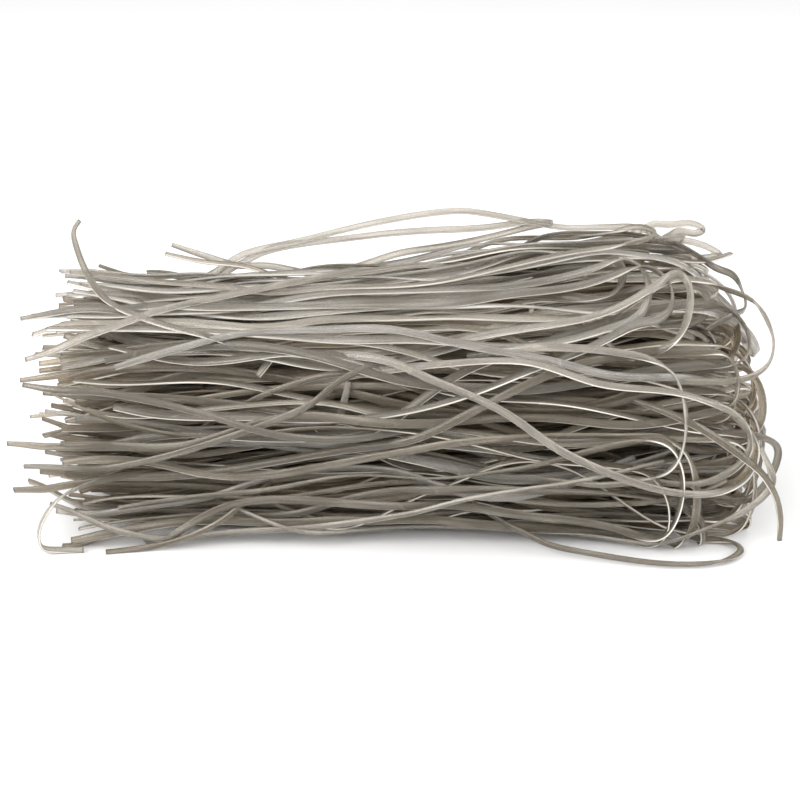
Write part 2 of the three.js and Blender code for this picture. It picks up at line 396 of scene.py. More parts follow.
def folded_route():
    """A whole noodle on the outline: out, round a fold and back."""
    around = rng.uniform(0, 360)
    gap = either_side(FOLD_GAP)
    reach = min(LONGEST_FOLD, max(SHORTEST_FOLD, abs(gap) * rng.uniform(*FOLD_REACH_SHARE)))
    inset = abs(rng.normal(0, FOLD_INSET_SPREAD))
    fold_x = fold_end(around + gap / 2) - reach - inset + rng.uniform(*FOLD_JITTER)
    return joined_runs(around, gap, fold_x, reach, RUN_SLOPE)


def over_end_route():
    """A run on the outline up to where it turns over the folded end."""
    around = rng.uniform(0, 360)
    fold_x = fold_end(around) - rng.uniform(*OVER_END_INSET)
    return even_path(run_route(around, fold_x, rng.normal(0, RUN_SLOPE)))


def turn_over_end(route, lift):
    """Continues a run over the folded end, down and back inside."""
    end_x, end_around = route[-1]
    end_lift = lift[-1]
    radius = rng.uniform(*OVER_END_RADIUS)
    reach = radius * rng.uniform(*OVER_END_REACH_SHARE)
    turn = np.linspace(0, math.pi, OVER_END_STEPS)[1:]
    inside = np.linspace(0, 1, INSIDE_STEPS)
    x = np.concatenate([end_x + reach * np.sin(turn), end_x - INSIDE_LENGTH * inside])
    bend = end_lift - radius * (1 - np.cos(turn))
    low = np.concatenate([bend, end_lift - 2 * radius - INSIDE_DROP * inside])
    around = end_around + np.linspace(0, rng.normal(0, INSIDE_SWERVE), len(x))
    return np.concatenate([route, np.stack([x, around], axis=1)]), np.concatenate([lift, low])


# Layers of folded noodles: the levels at which they are full, and how far the loose ends rise in each.
INNER_LEVEL = -15.0
FIRST_LEVEL = -11.5
SECOND_LEVEL = -8.5
INNER_END_RISE = 0.5
FIRST_END_RISE = 1.0
SECOND_END_RISE = 1.2
# How a noodle finds its place: the lowest of several routes, with some chance, and off the peaks.
CANDIDATES = 12
PEAK_SHARE = 0.5
LEVEL_JITTER = 0.6
# Share of noodles that turn over the end, and of those that are two, stuck side by side and calmer.
OVER_END_SHARE = 0.35
TWIN_SHARE = 0.12
TWIN_CALM = 0.4
FOLD_RISE = (0, 3)
STIFFNESS = (4, 12)
LIFT_SOFTENING = 6


def lowest_route(make):
    """Of several routes, the one over the lowest part of the pile and off its peaks, and its level."""
    best = None
    for _ in range(CANDIDATES):
        route = make()
        heights = pile[pile_cells(route[:, 0], route[:, 1])]
        level = heights.mean() + rng.normal(0, LEVEL_JITTER)
        cost = level + PEAK_SHARE * heights.max()
        if best is None or cost < best[0]:
            best = (cost, level, route)
    return best[1:]


def fill_to(full_level, ring_step, end_rise):
    """Lays noodles on the lowest parts of the pile until it is full."""
    noodles = []
    while True:
        over_end = rng.random() < OVER_END_SHARE
        level, route = lowest_route(over_end_route if over_end else folded_route)
        if level > full_level:
            return noodles
        size = random_size()
        twin = rng.random() < TWIN_SHARE
        roll = route_roll(route, TWIN_CALM if twin else 1.0)
        rise = loose_end_rise(len(route), end_rise)
        if over_end:
            rise[len(rise) // 2 :] = 0.0
        else:
            rise += hard_bends(route) * rng.uniform(*FOLD_RISE)
        laid_size = (size[0] * 2, size[1]) if twin else size
        lift = lay(route, roll, laid_size, rng.integers(*STIFFNESS), rise)
        if over_end:
            route, lift = turn_over_end(route, lift)
            roll = np.concatenate([roll, np.full(len(lift) - len(roll), roll[-1])])
        points = outline(route[:, 0], route[:, 1], soften(lift, LIFT_SOFTENING))
        shifts = (-size[0] / 2, size[0] / 2) if twin else (0.0,)
        noodles += [Noodle(points, roll, size, ring_step, shift) for shift in shifts]


# Loose noodles lie across the others; some have a fold of their own, the others end tucked in.
LOOSE_NOODLES = 44
LOOSE_AROUND = (-30, 210)
LOOSE_INSET = (10, 60)
LOOSE_FOLD_SHARE = 0.6
LOOSE_GAP = (14, 50)
LOOSE_REACH_SHARE = (0.4, 0.65)
LOOSE_SLOPE = 18.0
SINGLE_SLOPE = 22
LOOSE_END_RISE = 2.5
LOOSE_FOLD_RISE = (0, 5)
LOOSE_STIFFNESS = 12
LOOSE_SOFTENING = 10
TUCK = 14.0
# Broken pieces: where they lie, and how.
BROKEN_PIECES = 16
BROKEN_ALONG = (-120, 130)
BROKEN_AROUND = (-20, 200)
BROKEN_LEAN = (30, 85)
BROKEN_HALF_LENGTH = (6, 13)
BROKEN_ROLL_SPREAD = 20
BROKEN_STIFFNESS = 6


def loose_route():
    around = rng.uniform(*LOOSE_AROUND)
    fold_x = fold_end(around) - rng.uniform(*LOOSE_INSET)
    if rng.random() < LOOSE_FOLD_SHARE:
        gap = either_side(LOOSE_GAP)
        reach = min(LONGEST_FOLD, abs(gap) * rng.uniform(*LOOSE_REACH_SHARE))
        return joined_runs(around, gap, fold_x, reach, LOOSE_SLOPE)
    return even_path(run_route(around, fold_x, rng.normal(0, SINGLE_SLOPE)))


def loose_noodles():
    """Noodles on top of the pile."""
    noodles = []
    for _ in range(LOOSE_NOODLES):
        _, route = lowest_route(loose_route)
        size = random_size()
        roll = route_roll(route)
        rise = loose_end_rise(len(route), LOOSE_END_RISE)
        rise += hard_bends(route) * rng.uniform(*LOOSE_FOLD_RISE)
        single = route[-1, 0] > 0
        if single:
            rise -= TUCK * loose_share(np.arange(len(route))[::-1] * PATH_STEP)
        lift = lay(route, roll, size, LOOSE_STIFFNESS, rise)
        points = outline(route[:, 0], route[:, 1], soften(lift, LOOSE_SOFTENING))
        noodles.append(Noodle(points, roll, size))
    return noodles


def broken_pieces():
    """Short bits that lie across the other noodles."""
    noodles = []
    for _ in range(BROKEN_PIECES):
        middle = np.array([rng.uniform(*BROKEN_ALONG), rng.uniform(*BROKEN_AROUND)])
        lean = math.radians(either_side(BROKEN_LEAN))
        half = rng.uniform(*BROKEN_HALF_LENGTH)
        route = even_path(middle + half * np.outer([-1, 1], [math.cos(lean), math.sin(lean)]))
        size = random_size()
        roll = np.full(len(route), rng.normal(0, BROKEN_ROLL_SPREAD))
        lift = lay(route, roll, size, BROKEN_STIFFNESS)
        noodles.append(Noodle(outline(route[:, 0], route[:, 1], lift), roll, size))
    return noodles


# Noodles that stand out: place along, place around and lift above the outline; a lift below 0 is a part
# that is tucked into the pile.
STRAYS = {
    "arc_over_folds": (
        (42, 122, -12), (65, 120, 0), (92, 119, -3), (115, 116, -6), (134, 110, -2), (145, 104, 3),
        (150, 94, 4), (151, 82, 3), (150, 70, 2), (145, 60, 0), (130, 50, -12),
    ),
    "curl_at_cut_end": (
        (-64, 44, -12), (-82, 47, 0), (-98, 52, 0), (-115, 60, 0), (-126, 68, 1), (-134, 80, 4),
        (-140, 93, 8), (-145, 104, 12), (-149, 112, 18), (-149, 114, 22), (-147, 115, 25),
    ),
    "long_arch": (
        (-104, 121, -12), (-77, 121, 5), (-46, 120, 10), (-10, 119, 15), (25, 118, 17), (46, 118, 13),
        (67, 119, 8), (92, 121, 3), (112, 123, 0), (130, 124, -12),
    ),
    "folded_arch": (
        (-92, 122, -12), (-65, 122, 6), (-18, 120, 9), (9, 120, 9), (37, 120, 8), (62, 119, 10),
        (70, 119, 9), (63, 120, 7), (37, 121, 3), (0, 122, 0), (-40, 123, -12),
    ),
    "pale_fold": (
        (94, 119, -14), (106, 121, -8), (115, 122, -2), (123, 122, 10), (132, 122, 16), (139, 122, 19),
        (140, 122, 15), (132, 122, 5), (123, 122, -6), (112, 122, -13), (102, 122, -18),
    ),
    "small_fold": (
        (104, 119, -14), (114, 118, -10), (121, 117, -7), (128, 116, -5), (136, 116, -4),
        (143, 116, -4), (147, 116, -4), (145, 116, -6), (139, 116, -9), (118, 118, -16),
    ),
    "short_end": ((112, 106, -14), (126, 107, -12), (138, 109, -9), (146, 112, -5), (152, 116, -2)),
    "big_arc": (
        (86, 50, -11), (116, 64, 0), (136, 71, 3), (149, 67, 6), (156, 56, 7), (158, 45, 6),
        (153, 35, 3), (138, 28, 0), (106, 24, -12),
    ),
    "bright_fold": (
        (8, 40, -12), (50, 44, 0), (84, 49, 0), (106, 58, 0), (117, 66, 1), (122, 62, 2), (121, 51, 1),
        (115, 40, 0), (100, 33, -12),
    ),
    "open_loop": (
        (28, 36, -12), (58, 36, 0), (83, 35, 0), (104, 32, 0), (115, 25, 1), (119, 10, 1), (115, -4, 1),
        (104, -11, 0), (84, -14, 0), (48, -16, -12),
    ),
    "broad_band": (
        (-42, 28, -12), (8, 31, 0), (50, 31, 0), (84, 23, 0), (122, 20, 0), (143, 14, 1), (147, 0, 1),
        (130, -12, 0), (90, -16, -12),
    ),
    "long_crossing": (
        (-44, 41, -12), (-8, 34, 0), (13, 26, 0), (42, 15, 0), (70, -1, 0), (102, -12, 0),
        (130, -16, 0), (147, -11, 2), (151, 4, 2), (140, 15, -11),
    ),
    "low_bright": (
        (-152, -26, 0), (-117, -33, 0), (-89, -38, 0), (-44, -35, 0), (0, -27, 0), (30, -18, 0),
        (68, -12, 0), (112, -8, -12),
    ),
    "bottom_bow": (
        (-84, -28, -12), (-44, -35, 0), (0, -43, 0), (50, -45, 1), (98, -42, 0), (128, -32, 0),
        (148, -25, 1), (159, -12, 3), (152, 4, -3),
    ),
    "hanging_end": (
        (98, 16, -12), (123, 10, 0), (139, 3, 1), (152, -5, 3), (160, -15, 6), (163, -23, 12),
        (164, -28, 19), (164, -32, 26),
    ),
    "left_diagonal": (
        (-160, 42, 0), (-125, 51, 0), (-87, 68, 0), (-49, 84, 0), (-22, 93, 0), (4, 104, 0),
        (44, 116, -12),
    ),
    "left_bend": (
        (-162, -10, 0), (-142, -8, 0), (-107, -1, 0), (-81, 6, 0), (-59, 12, 0), (-38, 19, 0),
        (-23, 28, 0), (6, 38, -12),
    ),
    "left_middle": (
        (-158, 29, 1), (-144, 27, 0), (-123, 26, 0), (-102, 22, 0), (-81, 17, 0), (-50, 9, 0),
        (-20, 7, 0), (24, 10, -12),
    ),
    "curl_on_floor": (
        (-104, -10, -12), (-128, -13, 0), (-146, -18, 3), (-155, -27, 7), (-155, -36, 10),
        (-148, -41, 13), (-138, -43, 15),
    ),
    "end_on_floor": ((-56, -22, -12), (-80, -30, 1), (-100, -37, 6), (-116, -41, 12), (-128, -43, 17)),
    "loop_on_floor": (
        (30, -34, -12), (58, -38, 4), (84, -38, 12), (108, -37, 18), (128, -36, 21), (141, -37, 20),
        (148, -40, 15), (147, -44, 9), (138, -46, 5), (118, -46, -12),
    ),
    "top_end_1": ((-30, 118, -12), (-62, 117, 0), (-84, 117, 5), (-105, 117, 13)),
    "top_end_2": ((-36, 108, -12), (-70, 112, 0), (-92, 115, 5), (-108, 117, 9)),
    "left_end_1": ((-90, 4, -12), (-140, 4, 1), (-168, 2, 2)),
    "left_end_2": ((-84, -12, -12), (-140, -14, 1), (-167, -20, 2)),
    "left_end_3": ((-84, 62, -12), (-138, 62, 1), (-162, 58, 2)),
}
STRAY_WIDTH_RANGE = (0.9, 1.05)
STRAY_CALM = 0.6
STRAY_STIFFNESS = 20
STRAY_SOFTENING = 10
STRAY_RISE = 5.0
FLOOR_BEND = 6.0
PALE_STRAYS = (
    "long_arch", "folded_arch", "pale_fold", "small_fold", "bright_fold", "open_loop", "broad_band",
    "long_crossing", "low_bright", "bottom_bow", "left_diagonal", "top_end_1",
)
PALE_TONE = 0.7
DARK_TONE = 0.6
# Noodles on top that turn their flat side to the front.
TURNED_STRAYS = ("long_arch", "folded_arch", "pale_fold", "small_fold", "top_end_1")
TURNED_ROLL = -65.0
TURNED_CALM = 0.25


def meet_floor(height):
    """Heights of a noodle that comes down to the floor in a gentle bend."""
    above = height - NOODLE_THICKNESS / 2
    return NOODLE_THICKNESS / 2 + (above + np.sqrt(above**2 + FLOOR_BEND**2)) / 2


def stray_noodles():
    """The noodles that stand out: they rest on the pile, or are lifted off it or tucked into it."""
    noodles = []
    for name, places in STRAYS.items():
        route = through(places)
        size = (NOODLE_WIDTH * rng.uniform(*STRAY_WIDTH_RANGE), NOODLE_THICKNESS)
        roll = route_roll(route[:, :2], STRAY_CALM)
        if name in TURNED_STRAYS:
            roll = TURNED_ROLL + TURNED_CALM * roll
        tuck = np.minimum(route[:, 2], 0.0)
        laid = lay(route[:, :2], roll, size, STRAY_STIFFNESS, tuck)
        raised = route[:, 2] + STRAY_RISE * np.clip(route[:, 2] / STRAY_RISE, 0.0, 1.0)
        lift = laid + np.maximum(raised - np.maximum(laid - tuck, 0.0), 0.0)
        points = outline(route[:, 0], route[:, 1], soften(lift, STRAY_SOFTENING))
        points[:, 2] = meet_floor(points[:, 2])
        noodle = Noodle(points, roll, size)
        noodle.tone = PALE_TONE if name in PALE_STRAYS else noodle.tone * DARK_TONE
        noodles.append(noodle)
    return noodles


# Noodles inside, of which only an end shows. A golden step, in half turns, spreads them evenly.
GOLDEN_STEP = 3 - math.sqrt(5)
INNER_SPREAD = 4
# Cut ends: mean and spread of how far in they begin, and how they swing, most of all in the middle.
CUT_STUBS = 230
STUBS_REACH = 1.1
STUB_INSET = (9, 7)
STUB_LENGTH = 64
STUB_SWING = 10
STUB_SPREAD = 0.1
MIDDLE_SHARE = 0.3
MIDDLE_SWING = 3
# Folds: mean and spread of their lean and of how far out they end, their size, and their two legs.
END_FOLDS = 100
END_FOLDS_REACH = 1.05
END_FOLD_LEAN = (90, 28)
END_FOLD_TIP = (-6, 6)
END_FOLD_ROUNDING = 8
END_FOLD_HALF_GAP = (4, 19)
END_FOLD_REACH_SHARE = (0.8, 1.4)
LONGEST_END_FOLD = 20.0
END_FOLD_BULGE = 0.2
END_FOLD_SOFTENING = 8
END_FOLD_CALM = 0.5
LEG_SPAN = (56, 2)
LEG_NARROWING = 0.75
LEG_STEPS = 22
AHEAD = np.array([1.0, 0.0, 0.0])


def inner_place(index, count, reach):
    """Place around, and share of the way out to the bottom of the pile, of one of many even places."""
    around = math.degrees(index * math.pi * GOLDEN_STEP) + rng.normal(0, INNER_SPREAD)
    return around, math.sqrt((index + 0.5) / count) * reach


def inner_point(x, around, share):
    """A point inside the section, share 0 on the middle line and 1 at the bottom of the pile."""
    height, _ = section_at(x)
    middle = np.stack([x, np.zeros_like(x), height / 2], axis=-1)
    skin = outline(x, around, np.full_like(x, CORE_LIFT))
    return middle + (skin - middle) * np.asarray(share)[..., None]


def cut_stubs():
    """Cut ends of the noodles inside, which show at the end of the bundle."""
    noodles = []
    for index in range(CUT_STUBS):
        around, share = inner_place(index, CUT_STUBS, STUBS_REACH)
        tip = CUT_END_X + rng.normal(*STUB_INSET)
        x = np.arange(tip, CUT_END_X + STUB_LENGTH, PATH_STEP)
        loose = loose_share(x - tip)
        swing = around + loose * rng.normal(0, STUB_SWING) * (1 if share > MIDDLE_SHARE else MIDDLE_SWING)
        points = inner_point(x, swing, share * (1 + loose * rng.normal(0, STUB_SPREAD)))
        roll = random_roll(len(x)) + rng.uniform(*ANY_ROLL)
        noodles.append(Noodle(points, roll, random_size()))
    return noodles


def end_folds():
    """Folds of the noodles inside, which show at the other end: mostly upright bends."""
    noodles = []
    turn = np.linspace(0, math.pi, FOLD_STEPS)
    swing = fold_swing(turn, END_FOLD_BULGE)[:, None]
    inwards = np.linspace(*LEG_SPAN, LEG_STEPS)[:, None] * -AHEAD
    narrow = np.linspace(LEG_NARROWING, 1.0, LEG_STEPS)[:, None]
    for index in range(END_FOLDS):
        around, share = inner_place(index, END_FOLDS, END_FOLDS_REACH)
        lean = math.radians(rng.normal(*END_FOLD_LEAN))
        half = np.array([0.0, math.cos(lean), math.sin(lean)]) * rng.uniform(*END_FOLD_HALF_GAP)
        reach = min(LONGEST_END_FOLD, np.linalg.norm(half) * rng.uniform(*END_FOLD_REACH_SHARE))
        tip = fold_end(around) - END_FOLD_ROUNDING * share**2 + rng.normal(*END_FOLD_TIP)
        middle = inner_point(np.array([tip - reach]), np.array([around]), np.array([share]))[0]
        bend = middle + half * swing + AHEAD * (reach * np.sin(turn))[:, None]
        first = middle + half * narrow + inwards
        second = (middle - half * narrow + inwards)[::-1]
        points = soften_columns(even_path(np.concatenate([first, bend, second])), END_FOLD_SOFTENING)
        roll = random_roll(len(points)) * END_FOLD_CALM
        noodles.append(Noodle(points, roll, random_size(), facing=half))
    return noodles


# Cross-section of a noodle, half width and half thickness both 1: a ribbon with rounded edges. FLAT is
# where its flat sides end, EDGE where its edges do.
FLAT = 0.88
EDGE = 0.4
SECTION = np.array(
    [(1, EDGE), (FLAT, 1), (-FLAT, 1), (-1, EDGE), (-1, -EDGE), (-FLAT, -1), (FLAT, -1), (1, -EDGE)]
)
SIDES = len(SECTION)
# Waves of a noodle's width: size, length of a radian, and times its own phase, which its tone sets.
WIDTH_WAVES = ((0.06, 17.0, 1), (0.05, 41.0, 2))
TONE_PHASE = 90.0
END_WIDTH = 0.7
SHRUNK_END = 16.0
CUT_FACE = 0.7
FLOOR_CLEARANCE = 0.1
# A pale glow is painted on the edge that faces down and to the front, in place of the light that a ribbon
# carries out of that edge. Beside the edges the painted glow is below 0, so that it ends close to them.
EDGE_SIDE = np.where(np.abs(SECTION[:, 0]) == 1, SECTION[:, 0], 0.0)
OFF_EDGE_DROP = 0.3
OFF_EDGE = np.where(EDGE_SIDE == 0, OFF_EDGE_DROP, 0.0)
GLOW_SIDE = np.array([0.0, -0.5, -0.85])
GLOW_GAIN = 2.0
GLOW_WAVE = 0.2
GLOW_WAVE_LENGTH = 23.0
GLOW_WAVE_TIMES = 3
# Flat layout of the noodles of a piece: strips in columns, each with its two cut faces at the end.
STRIP_ROWS = 50
STRIP_MARGIN = 0.06
STRIP_START = 0.01
BODY_SHARE = 0.94
CAP_SIZE = (0.015, 1.0)
CAP_PLACES = ((0.958, 0.0), (0.98, 0.0))


def ring_places(noodle):
    """Places of the rings along a noodle: closer together where it bends, and close to its cut faces."""
    steps = np.linalg.norm(np.diff(noodle.points, axis=0), axis=1)
    length = np.concatenate([[0.0], np.cumsum(steps)])
    ahead = np.gradient(noodle.points, length, axis=0)
    bending = np.linalg.norm(np.gradient(ahead, length, axis=0), axis=1)
    measure = np.sqrt(1 + (bending * BEND_DETAIL) ** 2)
    effort = np.concatenate([[0.0], np.cumsum(steps * (measure[1:] + measure[:-1]) / 2)])
    count = max(FEWEST_POINTS, int(effort[-1] / noodle.ring_step))
    places = np.interp(np.linspace(0, effort[-1], count), effort, length)
    inner = places[(places > 2 * CUT_FACE) & (places < length[-1] - 2 * CUT_FACE)]
    return length, np.concatenate([[0.0, CUT_FACE], inner, [length[-1] - CUT_FACE, length[-1]]])


def carried_frames(points, roll, facing):
    """Sideways and outward unit vectors along a noodle: carried without twist, then turned by its roll."""
    ahead = np.gradient(points, axis=0)
    ahead /= np.linalg.norm(ahead, axis=1)[:, None]
    out = facing
    if out is None:
        height, _ = section_at(points[0, 0])
        out = points[0] - np.array([points[0, 0], 0.0, height / 2])
    outs = np.empty_like(points)
    for i in range(len(points)):
        out = out - ahead[i] * out.dot(ahead[i])
        out = out / (np.linalg.norm(out) + TINY)
        outs[i] = out
    sides = np.cross(ahead, outs)
    turn = np.radians(roll)[:, None]
    return sides * np.cos(turn) + outs * np.sin(turn), outs * np.cos(turn) - sides * np.sin(turn)


def cap_quads(sides):
    """Quads that close a ring of points."""
    return np.array([(k, k + 1, sides - 2 - k, sides - 1 - k) for k in range(sides // 2 - 1)])


def ring_quads(rings, sides):
    """Quads of a closed tube of rings."""
    base = (np.arange(rings - 1) * sides)[:, None]
    side = np.arange(sides)[None, :]
    after = (side + 1) % sides
    around = np.stack([base + side, base + sides + side, base + sides + after, base + after], axis=-1)
    caps = cap_quads(sides)
    return np.concatenate([around.reshape(-1, 4), caps, caps[:, ::-1] + (rings - 1) * sides])


def width_along(places, from_end, phase):
    """Width of a noodle as a share of its own: uneven, and shrunk towards the ends."""
    wide = 1.0
    for size, length, times in WIDTH_WAVES:
        wide = wide + size * np.sin(places / length + times * phase)
    return wide * (END_WIDTH + (1 - END_WIDTH) * smoothstep(from_end, 0.0, SHRUNK_END))


def noodle_mesh(noodle):
    """Points and quads of one noodle, and the values at its points that its material uses."""
    length, places = ring_places(noodle)
    points = np.stack([np.interp(places, length, column) for column in noodle.points.T], axis=1)
    sides, outs = carried_frames(points, np.interp(places, length, noodle.roll), noodle.facing)
    phase = TONE_PHASE * noodle.tone
    from_end = np.minimum(places, places[-1] - places)
    wide = width_along(places, from_end, phase)
    across = SECTION[:, 0] * noodle.width / 2
    out = SECTION[:, 1] * noodle.thickness / 2
    rings = (
        points[:, None, :]
        + sides[:, None, :] * (across[None, :] * wide[:, None] + noodle.shift)[:, :, None]
        + outs[:, None, :] * out[None, :, None]
    )
    rings[:, :, 2] += np.maximum(0.0, FLOOR_CLEARANCE - rings[:, :, 2].min(axis=1))[:, None]
    # Painted glow: how strongly the pale tint is painted on the edge that faces down and to the front.
    lit = 1 - GLOW_WAVE + GLOW_WAVE * np.sin(places / GLOW_WAVE_LENGTH + GLOW_WAVE_TIMES * phase)
    painted_glow = np.clip(GLOW_GAIN * np.outer(lit * (sides @ GLOW_SIDE), EDGE_SIDE), 0, 1) - OFF_EDGE
    count = len(points)
    values = {
        "tone": np.full(count * SIDES, noodle.tone),
        "run": np.repeat(places, SIDES) * MM,
        "edge": np.tile(SECTION[:, 0], count),
        "painted_glow": painted_glow.ravel(),
        "cut": np.repeat(np.clip(1 - from_end / CUT_FACE, 0, 1), SIDES),
    }
    return rings.reshape(-1, 3), ring_quads(count, SIDES), values, strip_coordinates(places)


def strip_coordinates(places):
    """Flat coordinates of the corners of a noodle's quads: those around it, then its two cut faces."""
    corners = SECTION * (NOODLE_WIDTH, NOODLE_THICKNESS)
    steps = np.linalg.norm(np.roll(corners, -1, axis=0) - corners, axis=1)
    turn = np.concatenate([[0.0], np.cumsum(steps)]) / steps.sum()
    along = STRIP_START + BODY_SHARE * places / places[-1]
    body = np.empty((len(places) - 1, SIDES, 4, 2))
    body[..., 0] = np.stack([along[:-1], along[1:], along[1:], along[:-1]], axis=-1)[:, None, :]
    body[..., 1] = np.stack([turn[:-1], turn[:-1], turn[1:], turn[1:]], axis=-1)[None, :, :]
    cap = (SECTION[cap_quads(SIDES)] + 1) / 2
    first = cap * CAP_SIZE + CAP_PLACES[0]
    last = cap[:, ::-1] * CAP_SIZE + CAP_PLACES[1]
    return np.concatenate([body.reshape(-1, 4, 2), first, last])


def add_piece(name, noodles, material):
    """One joined mesh of many noodles."""
    points, quads, values, flat = [], [], [], []
    columns = math.ceil(len(noodles) / STRIP_ROWS)
    strip = np.array([1 / columns, 1 / math.ceil(len(noodles) / columns)])
    offset = 0
    for index, noodle in enumerate(noodles):
        noodle_points, noodle_quads, noodle_values, coordinates = noodle_mesh(noodle)
        points.append(noodle_points)
        quads.append(noodle_quads + offset)
        values.append(noodle_values)
        coordinates[..., 1] = STRIP_MARGIN + (1 - 2 * STRIP_MARGIN) * coordinates[..., 1]
        flat.append((coordinates + (index % columns, index // columns)) * strip)
        offset += len(noodle_points)
    points, quads, flat = np.concatenate(points), np.concatenate(quads), np.concatenate(flat)
    values = {label: np.concatenate([row[label] for row in values]) for label in values[0]}
    make_object(name, points * MM, quads, values, flat, material)


def make_object(name, points, quads, values, flat, material):
    """A mesh object from arrays, riding on the bundle in place of its plain solid."""
    mesh = bpy.data.meshes.new(name)
    mesh.vertices.add(len(points))
    mesh.vertices.foreach_set("co", points.astype(np.float32).ravel())
    mesh.loops.add(quads.size)
    mesh.loops.foreach_set("vertex_index", quads.astype(np.int32).ravel())
    mesh.polygons.add(len(quads))
    mesh.polygons.foreach_set("loop_start", np.arange(0, quads.size, 4, dtype=np.int32))
    mesh.update(calc_edges=True)
    mesh.polygons.foreach_set("use_smooth", np.ones(len(quads), dtype=bool))
    for label, numbers in values.items():
        mesh.attributes.new(label, "FLOAT", "POINT").data.foreach_set("value", numbers.astype(np.float32))
    mesh.uv_layers.new(name="OFBake").uv.foreach_set("vector", flat.astype(np.float32).ravel())
    mesh.materials.append(material)
    piece = bpy.data.objects.new(name, mesh)
    bpy.context.scene.collection.objects.link(piece)
    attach(piece, "root")
    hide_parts("noodle_bundle")


# The core: the grid of its mesh, how far inside the bundle it ends, and its rounded ends.
CORE_RINGS = 60
CORE_SIDES = 120
CORE_INSET_AT_CUTS = 30
CORE_INSET_AT_FOLDS = 34
CORE_BELOW_PILE = 2
CORE_ROUNDING = 20
CORE_TIP = 0.05
CORE_TONE = 0.5
CORE_STREAKS = 40
CORE_MARGIN = 0.01
# Its ridges: heights, counts around it, and how they sway along it.
RIDGE = 0.9
RIDGES = 37
RIDGE_SWAY = 2.0
RIDGE_SWAY_LENGTH = 40
FINE_RIDGE = 0.5
FINE_RIDGES = 23
FINE_RIDGE_LENGTH = 55


def core_piece(material):
    """The hidden middle of the bundle: ridged along its length, like the noodles over it."""
    ring_x = np.linspace(CUT_END_X + CORE_INSET_AT_CUTS, FOLD_END_X - CORE_INSET_AT_FOLDS, CORE_RINGS)
    x = ring_x[:, None] + np.zeros(CORE_SIDES)
    around = np.linspace(0, 360, CORE_SIDES, endpoint=False) + np.zeros((CORE_RINGS, 1))
    turn = np.radians(around)
    ridges = RIDGE * np.sin(turn * RIDGES + RIDGE_SWAY * np.sin(x / RIDGE_SWAY_LENGTH))
    ridges += FINE_RIDGE * np.sin(turn * FINE_RIDGES + x / FINE_RIDGE_LENGTH)
    skin = outline(x, around, CORE_LIFT - CORE_BELOW_PILE + ridges)
    height, _ = section_at(x)
    middle = np.stack([x, np.zeros_like(x), height / 2], axis=-1)
    from_end = np.minimum(x - x.min(), x.max() - x)
    share = np.maximum(CORE_TIP, np.sqrt(1 - np.clip(1 - from_end / CORE_ROUNDING, 0, 1) ** 2))
    points = (middle + (skin - middle) * share[..., None]).reshape(-1, 3)
    quads = ring_quads(CORE_RINGS, CORE_SIDES)
    values = {
        "tone": np.full(len(points), CORE_TONE),
        "run": points[:, 0] * MM,
        "edge": np.tile(np.sin(turn[0] * CORE_STREAKS), CORE_RINGS),
        "painted_glow": np.zeros(len(points)),
        "cut": np.zeros(len(points)),
    }
    grid = np.stack([(x - x.min()) / (x.max() - x.min()), around / 360], axis=-1).reshape(-1, 2)
    flat = grid[quads]
    past_seam = flat[..., 1] < flat[..., 1].max(axis=1, keepdims=True) - 0.5
    flat[..., 1] += past_seam
    flat = flat * (1 - 2 * CORE_MARGIN) + CORE_MARGIN
    make_object("noodle_core", points * MM, quads, values, flat, material)


# Tints of one pass through a ribbon, where it is thick or milky and where it is clear.
OUTER_TINTS = (0.285, 0.254, 0.208, 1), (0.6, 0.567, 0.52, 1)
# A paler copy of the noodle's tints, painted light for the cut ends and folds at the two ends of the
# bundle.
END_PAINTED_LIGHT_TINTS = (0.38, 0.34, 0.283, 1), (0.84, 0.798, 0.735, 1)
# A darker copy of the noodle's tints, painted shade for the noodles deep in the pile.
INNER_PAINTED_SHADE_TINTS = (0.22, 0.179, 0.131, 1), (0.53, 0.465, 0.376, 1)
# A much darker copy, painted shade for the hidden core that shows in the gaps between noodles.
CORE_PAINTED_SHADE_TINTS = (0.13, 0.1, 0.07, 1), (0.27, 0.218, 0.158, 1)
# Tint of the painted glow on the edges that face down and to the front.
PAINTED_GLOW_TINT = (0.86, 0.817, 0.75, 1)
CUT_TINT = (0.12, 0.11, 0.1, 1)
CUT_TINT_SHARE = 0.8
# A noodle as a whole leans to warm or to cool grey.
CASTS = (1.0, 0.97, 0.9, 1), (0.975, 0.985, 1.0, 1)
CAST_SCALE = 60.0
CAST_SPAN = (0.35, 0.65)
# Streaks along a noodle, and how they and its tone make it thick or clear.
STREAKS_ALONG = 30.0
STREAKS_ACROSS = 0.8
STREAK_SCALE = 1.5
STREAK_DETAIL = 0.5
STREAK_SHARE = 0.6
TONE_SHARE = 0.55
SHADE_OFFSET = -0.045
SHADE_SPAN = (0.34, 0.7)
# Surface: clear inside, cloudy where the glow is painted on an edge, a little glossy and barely uneven.
CLEARNESS = 0.74
EDGE_CLEARNESS = 0.1
GLOSS_ROUGHNESS = 0.12
STREAK_ROUGHNESS = 0.2
BUMP_STRENGTH = 0.04
BUMP_DEPTH = 0.4
REFRACTIVE_INDEX = 1.4
# Sockets of a mix node that has colours.
MIX_SHARE = 0
MIX_FIRST = 6
MIX_SECOND = 7
MIX_RESULT = 2


def feed(tree, value, socket):
    """Sets a socket to a plain value, or links it to the output of another node."""
    if isinstance(value, bpy.types.NodeSocket):
        tree.links.new(value, socket)
    else:
        socket.default_value = value


def attribute(tree, label):
    node = tree.nodes.new("ShaderNodeAttribute")
    node.attribute_name = label
    return node.outputs["Fac"]


